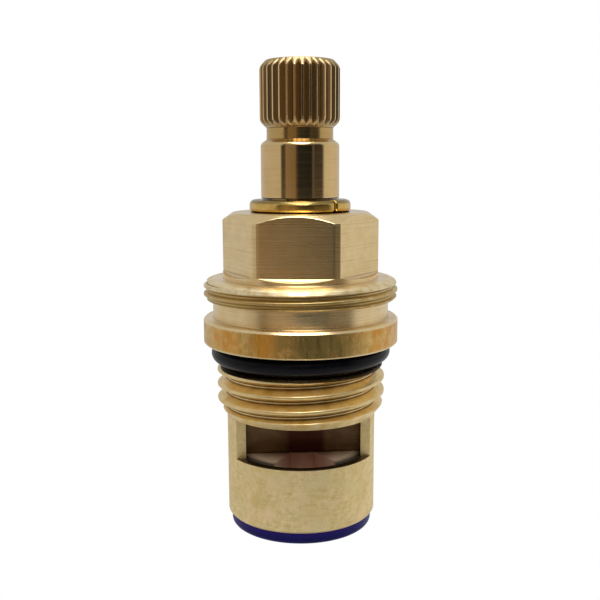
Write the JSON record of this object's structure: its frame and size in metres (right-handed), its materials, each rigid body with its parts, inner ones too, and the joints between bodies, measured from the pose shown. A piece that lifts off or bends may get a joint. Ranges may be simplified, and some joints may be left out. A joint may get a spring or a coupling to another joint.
{
  "type": "ceramic disc tap cartridge",
  "caption": "Quarter-turn brass tap cartridge with a splined spindle, spanner hexagon, two body threads, outlet windows, lapped ceramic discs and a rubber seat seal.",
  "frame": {"origin": "centre of the underside of the bottom seal, on the spindle axis", "axes": "+Z along the spindle axis from the bottom seal to the splined head, -Y out of the front outlet window"},
  "size_m": [0.0241, 0.024, 0.0572],
  "materials": {
    "body_brass": "turned, bare",
    "spindle_brass": "turned, bright",
    "golden_brass": "stamped, bright",
    "black_rubber": "moulded, satin",
    "indigo_rubber": "moulded, satin",
    "ceramic": "lapped",
    "white_acetal": "moulded, matt"
  },
  "bodies": {
    "body": {"valve_body": "body_brass", "body_oring": "black_rubber", "fixed_disc": "ceramic", "bottom_seal": "indigo_rubber", "seal_support_ring": "white_acetal"},
    "spindle": {"spindle": "spindle_brass", "moving_disc": "ceramic", "thrust_washer": "white_acetal", "lower_spindle_oring": "black_rubber", "upper_spindle_oring": "black_rubber", "circlip": "golden_brass"}
  },
  "joints": [
    {"name": "spindle_turn", "type": "hinge", "parent": "body", "child": "spindle", "pos_m": [0, 0, 0.03], "axis": [0, 0, 1], "range_deg": [0, 90]}
  ]
}
